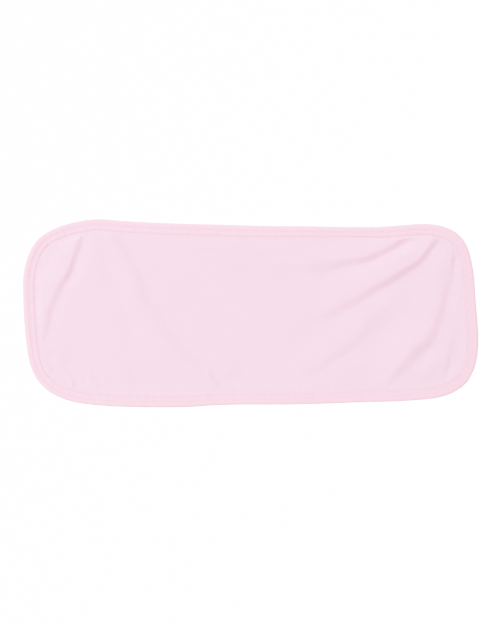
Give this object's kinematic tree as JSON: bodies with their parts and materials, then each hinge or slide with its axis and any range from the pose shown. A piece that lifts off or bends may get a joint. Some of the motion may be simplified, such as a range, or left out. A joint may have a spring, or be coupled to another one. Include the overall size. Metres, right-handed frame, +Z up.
{
  "type": "burp cloth",
  "caption": "Oblong knitted burp cloth with round ends and a soft folded edge binding, laid out on a surface with a few loose folds.",
  "frame": {"origin": "on the surface that the cloth lies on, below the middle of its box", "axes": "+X along the cloth's length, +Y across it towards the edge with the hold points, +Z up out of its face"},
  "size_m": [0.52, 0.215, 0.0064],
  "materials": {
    "panel_knit": "matte fine knit, pale pink",
    "binding_knit": "matte ribbed knit, pale pink, with two rows of stitching"
  },
  "bodies": {
    "root": {"cloth_panel": "panel_knit", "edge_binding": "binding_knit"}
  },
  "joints": []
}
